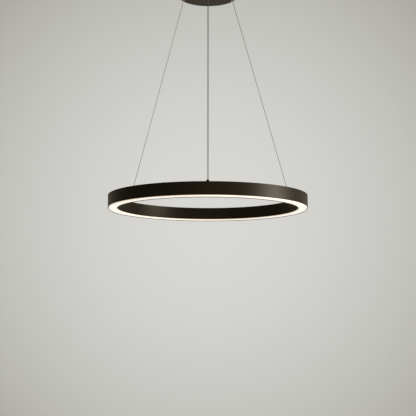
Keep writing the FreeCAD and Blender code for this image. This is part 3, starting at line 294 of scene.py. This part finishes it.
def make_finishes():
    return {
        "ring_black": powder_coat("ring_paint", PAINT),
        # painted light: the cup takes a paler copy of the ring's paint
        "cup_black": powder_coat("cup_paint_painted_light", shade(PAINT, CUP_PAINTED_LIGHT)),
        "diffuser_opal": opal("opal_acrylic"),
        "fitting_black": finish_of("black_plastic", (0.008, 0.0065, 0.005), 0.7, grain=1200.0, specular=0.15),
        "wire_steel": strands("wire_strands", (0.25, 0.224, 0.187), rough=0.45, metal=0.6, count=6, lay=9.0),
        "bright_steel": finish_of("zinc_steel", (0.56, 0.57, 0.58), 0.32, metal=1.0, grain=900.0),
        "cable_sheath": finish_of("cable_skin", (0.048, 0.042, 0.034), 0.4, grain=2000.0, specular=0.4),
        "clear_clip": clear_plastic("clear_plastic"),
        "tray_aluminium": finish_of("mill_aluminium", (0.74, 0.75, 0.76), 0.38, metal=1.0, grain=300.0),
        "board_white": finish_of("solder_mask", (0.86, 0.86, 0.84), 0.35, grain=500.0, vary=0.03),
        "led_phosphor": finish_of("phosphor", (0.90, 0.70, 0.22), 0.4, grain=2500.0, vary=0.06),
        "driver_white": finish_of("driver_shell", (0.72, 0.72, 0.70), 0.5, grain=800.0, vary=0.04),
        "board_green": finish_of("circuit_board", (0.03, 0.16, 0.07), 0.35, grain=700.0),
        "component_dark": finish_of("wound_parts", (0.03, 0.03, 0.035), 0.45, grain=900.0),
        "terminal_white": finish_of("nylon", (0.78, 0.77, 0.73), 0.45, grain=900.0, vary=0.04),
        "terminal_brass": finish_of("brass", (0.72, 0.53, 0.24), 0.3, metal=1.0, grain=900.0),
        "grommet_rubber": finish_of("rubber", (0.015, 0.015, 0.015), 0.7, grain=1500.0, specular=0.3),
        "lead_brown": finish_of("brown_skin", (0.09, 0.03, 0.012), 0.4, grain=1800.0),
        "lead_blue": finish_of("blue_skin", (0.012, 0.06, 0.32), 0.4, grain=1800.0),
        "lead_earth": earth_skin("earth_skin"),
    }


def dress_nodes(finishes):
    """Every CAD node takes the finish of its slot."""
    for part in frame["record"]["subparts"]:
        for holder in frame["nodes"][part["node"]].material_slots:
            holder.material = finishes[part["material_slot"]]


# ---------------------------------------------------------------- mesh helpers


def mesh_object(name, bm, material):
    mesh = bpy.data.meshes.new(name)
    bm.to_mesh(mesh)
    bm.free()
    for face in mesh.polygons:
        face.use_smooth = True
    mesh.materials.append(material)
    thing = bpy.data.objects.new(name, mesh)
    bpy.context.scene.collection.objects.link(thing)
    return thing


def route_line(points):
    """The smooth line of a route: a NURBS spline with the route's points as its control points."""
    curve = bpy.data.curves.new("route", "CURVE")
    curve.dimensions = "3D"
    spline = curve.splines.new("NURBS")
    spline.points.add(len(points) - 1)
    for target, point in zip(spline.points, points):
        target.co = (*(part * MM for part in point), 1.0)
    spline.order_u = 3
    spline.use_endpoint_u = True
    spline.resolution_u = 24
    holder = bpy.data.objects.new("route", curve)
    mesh = bpy.data.meshes.new_from_object(holder)
    line = [vertex.co.copy() for vertex in mesh.vertices]
    bpy.data.objects.remove(holder)
    bpy.data.curves.remove(curve)
    bpy.data.meshes.remove(mesh)
    return line


def tube_along(name, line, diameter, material, sides=16):
    """A closed round tube whose UV runs round it and, in metres, along it."""
    bm = bmesh.new()
    layer = bm.loops.layers.uv.new("UVMap")
    radius = diameter * MM / 2
    tangent = (line[1] - line[0]).normalized()
    side = tangent.orthogonal().normalized()
    rings, travelled, run = [], [], 0.0
    for i, point in enumerate(line):
        after = line[min(i + 1, len(line) - 1)]
        before = line[max(i - 1, 0)]
        fresh = (after - before).normalized()
        side = tangent.rotation_difference(fresh) @ side
        side = (side - fresh * side.dot(fresh)).normalized()
        tangent = fresh
        up = tangent.cross(side)
        run += (point - before).length
        travelled.append(run)
        turns = [2 * math.pi * k / sides for k in range(sides)]
        rings.append([bm.verts.new(point + radius * (side * math.cos(t) + up * math.sin(t))) for t in turns])
    for i in range(len(rings) - 1):
        for k in range(sides):
            n = (k + 1) % sides
            face = bm.faces.new((rings[i][k], rings[i][n], rings[i + 1][n], rings[i + 1][k]))
            corners = ((k, i), (k + 1, i), (k + 1, i + 1), (k, i + 1))
            for loop, (u, v) in zip(face.loops, corners):
                loop[layer].uv = (u / sides, travelled[v])
    bm.faces.new(list(reversed(rings[0])))
    bm.faces.new(rings[-1])
    bmesh.ops.recalc_face_normals(bm, faces=bm.faces[:])
    return mesh_object(name, bm, material)


# ---------------------------------------------------------------- wires and cable


def around(radius, angle):
    turn = math.radians(angle)
    return radius * math.sin(turn), -radius * math.cos(turn)


def between(a, b, distance):
    """The point that far from a on the way to b."""
    a, b = Vector(a), Vector(b)
    return tuple(a + (b - a).normalized() * distance)


SIDES = {
    # name: exit angle, anchor angle, sideways place, lower bend
    "front": (0.0, 0.0, PAIR_SIDE, FRONT_BEND),
    "left": (-113.0, -119.4, 0.0, SIDE_BEND),
    "right": (113.0, 113.8, 0.0, SIDE_BEND),
}


def shorten(thing):
    """Gives the piece a mesh of its own."""
    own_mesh(thing)


def hang_wire(side, material):
    exit_angle, anchor_angle, sideways, bend = SIDES[side]
    x, y = around(EXIT_RADIUS, exit_angle)
    top = (x + sideways, y, EXIT_BEND)
    x, y = around(RING_MIDDLE, anchor_angle)
    low = (x + sideways, y, bend)
    start = (top[0], top[1], TAIL_START)
    end = (low[0], low[1], bend - STUB)
    points = [start, top, between(top, low, STUB), between(low, top, STUB), low, end]
    line = route_line(points)
    wire = tube_along(f"wire_{side}", line, WIRE_SIZE, material)
    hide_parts(f"suspension_wire_{side}")
    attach(wire, "canopy")
    shorten(wire)


GLAND = (5.0, 0.0)


def front_wire_y(level):
    slope = (EXIT_RADIUS - RING_MIDDLE) / (EXIT_BEND - FRONT_BEND)
    return -EXIT_RADIUS + slope * (EXIT_BEND - level)


def hang_cable(material):
    """From the gland in the cup's middle over to the front wire, then down beside it."""
    gland_x, gland_y = GLAND
    join = CUP_FLOOR - JOIN_DROP
    joined = (-PAIR_SIDE, front_wire_y(join), join)
    low = (-PAIR_SIDE, -RING_MIDDLE, FRONT_BEND)
    points = [
        (gland_x, gland_y, CUP_FLOOR - 8.2),
        (gland_x, gland_y, CUP_FLOOR - 15.2),
        (gland_x - 1.4, -9.0, CUP_FLOOR - 25.0),
        (gland_x - 4.8, -30.0, CUP_FLOOR - 34.0),
        (-PAIR_SIDE - 0.2, -55.0, CUP_FLOOR - 48.0),
        (-PAIR_SIDE, -82.0, CUP_FLOOR - 70.0),
        (-PAIR_SIDE, -105.0, CUP_FLOOR - 90.0),
        joined,
        between(joined, low, 22.0),
        between(low, joined, CABLE_STUB),
        low,
        (low[0], low[1], FRONT_BEND - CABLE_STUB),
    ]
    line = route_line(points)
    cable = tube_along("cable", line, CABLE_SIZE, material)
    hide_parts("power_cable")
    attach(cable, "canopy")
    shorten(cable)


CLIP_LENGTH = 5.0
CLIP_WALL = 0.85
CLIP_STEPS = 10  # round each side of its outline
CLIP_ENDS = (
    # share of the length from the middle, and share of the full section there
    (-0.5, 0.84),
    (-0.46, 0.94),
    (-0.38, 1.0),
    (0.38, 1.0),
    (0.46, 0.94),
    (0.5, 0.84),
)


def clip_section():
    """A pill-shaped outline round both lines, as (sideways, forward) in millimetres."""
    left, right = -PAIR_SIDE, PAIR_SIDE
    radius = CABLE_SIZE / 2 + CLIP_WALL
    outline = []
    for centre, start in ((right, -90.0), (left, 90.0)):
        for k in range(CLIP_STEPS + 1):
            turn = math.radians(start + 180.0 * k / CLIP_STEPS)
            outline.append((centre + radius * math.cos(turn), radius * math.sin(turn)))
    return outline


def make_clip(material):
    """A small clear sleeve, its ends rounded over, round the wire and the cable."""
    level = CUP_FLOOR - CLIP_DROP
    centre = Vector((0.0, front_wire_y(level), level))
    along = Vector((0.0, EXIT_RADIUS - RING_MIDDLE, FRONT_BEND - EXIT_BEND)).normalized()
    sideways = Vector((1.0, 0.0, 0.0))
    forward = along.cross(sideways)
    bm = bmesh.new()
    outline = clip_section()
    rings = []
    for share, size in CLIP_ENDS:
        spot = centre + along * (share * CLIP_LENGTH)
        rings.append([bm.verts.new((spot + size * (x * sideways + y * forward)) * MM) for x, y in outline])
    count = len(outline)
    for low, high in zip(rings, rings[1:]):
        for k in range(count):
            n = (k + 1) % count
            bm.faces.new((low[k], low[n], high[n], high[k]))
    bm.faces.new(list(reversed(rings[0])))
    bm.faces.new(rings[-1])
    bmesh.ops.recalc_face_normals(bm, faces=bm.faces[:])
    clip = mesh_object("clip", bm, material)
    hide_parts("cable_clip")
    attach(clip, "canopy")
    shorten(clip)


# ---------------------------------------------------------------- springs in the grippers

SPRING_LOW = CUP_FLOOR + 11.0
SPRING_HIGH = CUP_FLOOR + 17.0
SPRING_RADIUS = 1.35  # to the middle of its wire
SPRING_WIRE = 0.46
SPRING_TURNS = 5
FLAT_TURN = 0.75  # how much of a turn lies flat at each end
COIL_STEPS = 20  # points on each turn


def coil_line(x, y):
    """A spring's line, wound round the upright through (x, y) and flat at both ends."""
    low, high = SPRING_LOW + SPRING_WIRE / 2, SPRING_HIGH - SPRING_WIRE / 2
    line = []
    for k in range(SPRING_TURNS * COIL_STEPS + 1):
        turn = k / COIL_STEPS
        rise = min(1.0, max(0.0, (turn - FLAT_TURN) / (SPRING_TURNS - 2 * FLAT_TURN)))
        spot = (
            x + SPRING_RADIUS * math.cos(2 * math.pi * turn),
            y + SPRING_RADIUS * math.sin(2 * math.pi * turn),
            low + (high - low) * rise,
        )
        line.append(Vector(spot) * MM)
    return line


def wind_spring(side, material):
    """The spring over one gripper's nose, which the nose presses together."""
    exit_angle, _, sideways, _ = SIDES[side]
    x, y = around(EXIT_RADIUS, exit_angle)
    spring = tube_along(f"spring_{side}", coil_line(x + sideways, y), SPRING_WIRE, material, sides=8)
    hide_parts(f"gripper_spring_{side}")
    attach(spring, "canopy")
    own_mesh(spring)


# ---------------------------------------------------------------- stage, light and camera

FLOOR_LEVEL = -2.35  # in metres
FLOOR_RADIUS = 4.0
PALE = (0.60, 0.60, 0.58)


def make_floor():
    bm = bmesh.new()
    bmesh.ops.create_circle(bm, cap_ends=True, radius=FLOOR_RADIUS, segments=96)
    bmesh.ops.translate(bm, verts=bm.verts[:], vec=(0, 0, FLOOR_LEVEL))
    pale = finish_of("pale_floor", PALE, 0.8, grain=60.0, vary=0.01, specular=0.1)
    floor = mesh_object("floor", bm, pale)


def area_light(name, place, target, size, watts, colour):
    light = bpy.data.lights.new(name, "AREA")
    light.shape = "RECTANGLE"
    light.size, light.size_y = size
    light.energy = watts
    light.color = colour
    holder = bpy.data.objects.new(name, light)
    holder.location = place
    holder.rotation_euler = (Vector(target) - Vector(place)).to_track_quat("-Z", "Y").to_euler()
    bpy.context.scene.collection.objects.link(holder)


def fade(tree, source, stops):
    """A straight fade between the stops, each a position and a colour."""
    made = node(tree, "ShaderNodeValToRGB")
    tree.links.new(source, made.inputs["Fac"])
    ends = made.color_ramp.elements
    ends[0].position, ends[0].color = stops[0][0], (*stops[0][1], 1.0)
    ends[1].position, ends[1].color = stops[-1][0], (*stops[-1][1], 1.0)
    for position, colour in stops[1:-1]:
        ends.new(position).color = (*colour, 1.0)
    return made.outputs["Color"]


def background(tree, colour, strength=1.0):
    made = node(tree, "ShaderNodeBackground", Strength=strength)
    if isinstance(colour, tuple):
        made.inputs["Color"].default_value = (*colour, 1.0)
    else:
        tree.links.new(colour, made.inputs["Color"])
    return made.outputs["Background"]


def choose(tree, share, first, second):
    made = node(tree, "ShaderNodeMixShader")
    tree.links.new(share, made.inputs["Fac"])
    tree.links.new(first, made.inputs[1])
    tree.links.new(second, made.inputs[2])
    return made.outputs["Shader"]


WALL_AHEAD = Vector((0.0, 0.993, 0.118)).normalized()
WALL = (
    # distance from straight ahead, squared, and the wall's colour there, darker outwards as a painted pool of
    # light
    (0.0, (0.690, 0.683, 0.655)),
    (0.025, (0.605, 0.600, 0.572)),
    (0.09, (0.416, 0.409, 0.371)),
)
STUDIO = (
    # half that distance, and what shines back from the satin paint
    (0.0, (0.44, 0.37, 0.29)),
    (0.30, (0.385, 0.330, 0.260)),
    (0.55, (0.045, 0.038, 0.029)),
    (0.92, (0.025, 0.022, 0.018)),
    (1.0, (0.30, 0.26, 0.19)),
)
ROOM_LEVEL = 0.58


def make_world():
    """Soft light all round, a pale wall for the camera with a painted pool of light fading outwards, and a
    dim room in reflections.
    """
    world = bpy.data.worlds.new("studio")
    bpy.context.scene.world = world
    world.use_nodes = True
    tree = world.node_tree
    tree.nodes.clear()
    out = node(tree, "ShaderNodeOutputWorld")
    off = node(tree, "ShaderNodeVectorMath", operation="DISTANCE")
    tree.links.new(node(tree, "ShaderNodeTexCoord").outputs["Generated"], off.inputs[0])
    off.inputs[1].default_value = WALL_AHEAD
    distance = off.outputs["Value"]
    wall = background(tree, fade(tree, combine(tree, "MULTIPLY", distance, distance), WALL))
    studio = background(tree, fade(tree, combine(tree, "MULTIPLY", distance, 0.5), STUDIO))
    room = background(tree, (1.0, 0.99, 0.97), ROOM_LEVEL)
    path = node(tree, "ShaderNodeLightPath").outputs
    seen = combine(tree, "MAXIMUM", path["Is Camera Ray"], path["Is Transmission Ray"])
    lit = choose(tree, path["Is Glossy Ray"], room, studio)
    tree.links.new(choose(tree, seen, lit, wall), out.inputs["Surface"])


LIGHTS = {
    # name: place, size in metres, watts, colour
    "key": ((3.4, -0.93, -0.75), (1.5, 0.7), 102.0, (1.0, 0.97, 0.93)),
    "rim": ((2.4, 2.4, -0.2), (1.4, 1.8), 1.6, (1.0, 0.92, 0.82)),
}
LIT_SPOT = (0.0, 0.0, -0.55)


def make_lights():
    for name, (place, size, watts, colour) in LIGHTS.items():
        area_light(name, place, LIT_SPOT, size, watts, colour)


CAMERA_PLACE = (0.0007, -2.8605, -1.0718)
CAMERA_TILT = 7.357  # upwards, in degrees
CAMERA_ROLL = 0.07
CAMERA_LENS = 82.79
SENSOR_WIDTH = 36.0


def make_camera():
    data = bpy.data.cameras.new("camera")
    data.sensor_width = SENSOR_WIDTH
    data.lens = CAMERA_LENS
    camera = bpy.data.objects.new("camera", data)
    tilt = Matrix.Rotation(math.radians(90.0 + CAMERA_TILT), 4, "X")
    roll = Matrix.Rotation(math.radians(CAMERA_ROLL), 4, "Z")
    camera.matrix_world = Matrix.Translation(CAMERA_PLACE) @ tilt @ roll
    bpy.context.scene.collection.objects.link(camera)
    bpy.context.scene.camera = camera


# ---------------------------------------------------------------- the scene

finishes = make_finishes()
dress_nodes(finishes)
for side in SIDES:
    hang_wire(side, finishes["wire_steel"])
    wind_spring(side, finishes["wire_steel"])
hang_cable(finishes["cable_sheath"])
make_clip(finishes["clear_clip"])
make_floor()
make_world()
make_lights()
make_camera()
bpy.context.scene.view_settings.view_transform = "Standard"
